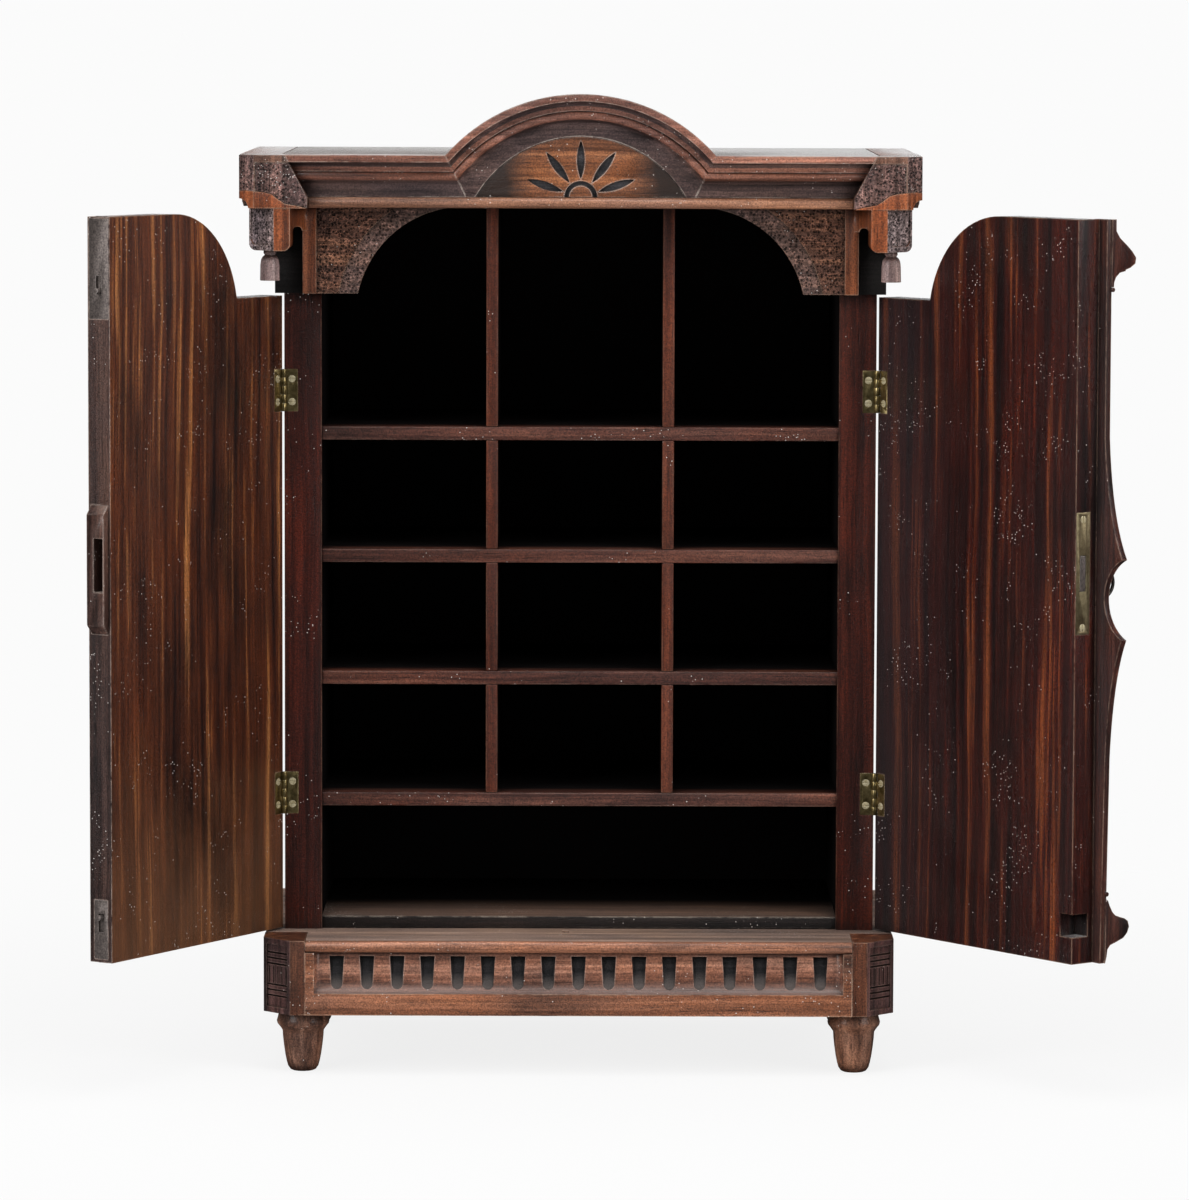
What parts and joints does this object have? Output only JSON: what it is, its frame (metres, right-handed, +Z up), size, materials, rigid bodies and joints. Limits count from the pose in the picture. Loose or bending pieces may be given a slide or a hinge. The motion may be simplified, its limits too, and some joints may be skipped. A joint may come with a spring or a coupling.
{
  "type": "thimble display case",
  "caption": "Carved walnut table-top display case on turned feet: pigeonholes behind arched doors, sunburst pediment, fluted plinth, key lock and edge bolts.",
  "frame": {"origin": "on the standing plane, under the middle of the case's width and depth", "axes": "+Z up, front along -Y, +X to the right as seen from the front"},
  "size_m": [0.598, 0.3173, 0.577],
  "materials": {
    "case_walnut": "old varnish over dark walnut, satin, worn pale on the edges",
    "inside_walnut": "nearly black stain, dull",
    "carved_walnut": "carved walnut, dark in the cuts and orange-brown on the arrises",
    "door_walnut": "glossy varnish with vertical grain streaks",
    "strip_walnut": "satin varnish, worn at the edges",
    "hinge_brass": "aged olive-brown brass",
    "plate_brass": "aged brass, scratched",
    "screw_brass": "bright worn screw heads",
    "lock_iron": "dark wrought iron, worn on the edges",
    "key_iron": "dark iron, handled"
  },
  "bodies": {
    "case": {"left_side": "case_walnut", "right_side": "case_walnut", "top_board": "case_walnut", "floor_board": "inside_walnut", "back_panel": "inside_walnut", "shelf_1": "inside_walnut", "shelf_2": "inside_walnut", "shelf_3": "inside_walnut", "shelf_4": "inside_walnut", "divider_1_left": "inside_walnut", "divider_1_right": "inside_walnut", "divider_2_left": "inside_walnut", "divider_2_right": "inside_walnut", "divider_3_left": "inside_walnut", "divider_3_right": "inside_walnut", "divider_4_left": "inside_walnut", "divider_4_right": "inside_walnut", "plinth_front": "carved_walnut", "plinth_ledge": "carved_walnut", "plinth_left": "case_walnut", "plinth_right": "case_walnut", "plinth_back": "inside_walnut", "plinth_corner_left": "carved_walnut", "plinth_corner_right": "carved_walnut", "foot_front_left": "carved_walnut", "foot_front_right": "carved_walnut", "foot_rear_left": "carved_walnut", "foot_rear_right": "carved_walnut", "cornice_front_left": "case_walnut", "cornice_front_right": "case_walnut", "cornice_side_left": "case_walnut", "cornice_side_right": "case_walnut", "cornice_corner_left": "case_walnut", "cornice_corner_right": "case_walnut", "bead_bar": "carved_walnut", "pediment_arch": "case_walnut", "tympanum": "carved_walnut", "spandrel_left": "carved_walnut", "spandrel_right": "carved_walnut", "corbel_left": "carved_walnut", "corbel_right": "carved_walnut", "tassels": "carved_walnut", "case_hinge_leaves": "hinge_brass", "hinge_pins": "hinge_brass", "case_screws": "screw_brass"},
    "left_door": {"left_door": "door_walnut", "strike_block": "strip_walnut", "left_door_leaves": "hinge_brass", "left_door_screws": "screw_brass", "edge_bolt_plates": "lock_iron"},
    "right_door": {"right_door": "door_walnut", "cover_strip": "strip_walnut", "right_door_leaves": "hinge_brass", "right_door_screws": "screw_brass", "lock_plate": "plate_brass", "lock_case": "lock_iron"},
    "lock_bolt": {"lock_bolt": "lock_iron"},
    "key": {"key": "key_iron"},
    "top_bolt": {"top_bolt": "lock_iron"},
    "bottom_bolt": {"bottom_bolt": "lock_iron"}
  },
  "joints": [
    {"name": "left_door_hinge", "type": "hinge", "parent": "case", "child": "left_door", "pos_m": [-0.1755, -0.0855, 0.28], "axis": [0, 0, -1], "range_deg": [-122.2, 57.8]},
    {"name": "right_door_hinge", "type": "hinge", "parent": "case", "child": "right_door", "pos_m": [0.1755, -0.0855, 0.28], "axis": [0, 0, 1], "range_deg": [-127.7, 52.3]},
    {"name": "key_turn", "type": "hinge", "parent": "right_door", "child": "key", "pos_m": [0.28, -0.2019, 0.2976], "axis": [0.7912, 0.6115, 0], "range_deg": [0, 360]},
    {"name": "lock_bolt_slide", "type": "slide", "parent": "right_door", "child": "lock_bolt", "axis": [0.6115, -0.7912, 0], "range_m": [0, 0.008]},
    {"name": "top_bolt_slide", "type": "slide", "parent": "left_door", "child": "top_bolt", "axis": [0, 0, 1], "range_m": [0, 0.0065]},
    {"name": "bottom_bolt_slide", "type": "slide", "parent": "left_door", "child": "bottom_bolt", "axis": [0, 0, -1], "range_m": [0, 0.0065]}
  ],
  "couplings": [
    {"joint": "key_turn", "follows": "lock_bolt_slide", "rad_per_m": 785.3}
  ]
}
